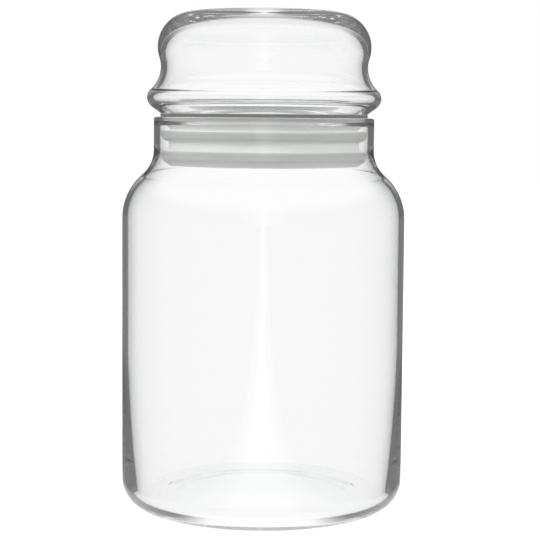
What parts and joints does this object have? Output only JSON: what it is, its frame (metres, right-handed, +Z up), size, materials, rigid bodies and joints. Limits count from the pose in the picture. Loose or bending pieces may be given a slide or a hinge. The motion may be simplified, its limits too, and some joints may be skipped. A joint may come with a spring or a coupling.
{
  "type": "storage jar",
  "caption": "Clear glass storage jar with a rounded shoulder, a short straight neck and a hollow waisted glass lid held in the mouth by a finned plastic seal ring.",
  "frame": {"origin": "middle of the ring the jar stands on, in the plane it stands on", "axes": "+Z up along the turning axis of the jar, the lid and the seal; X and Y level, all sides alike"},
  "size_m": [0.1, 0.1, 0.1765],
  "materials": {
    "jar_glass": "clear, fire-polished",
    "lid_glass": "clear, fire-polished",
    "seal_plastic": "milky translucent polyethylene"
  },
  "bodies": {
    "root": {"jar_body": "jar_glass", "lid": "lid_glass", "seal": "seal_plastic"}
  },
  "joints": []
}
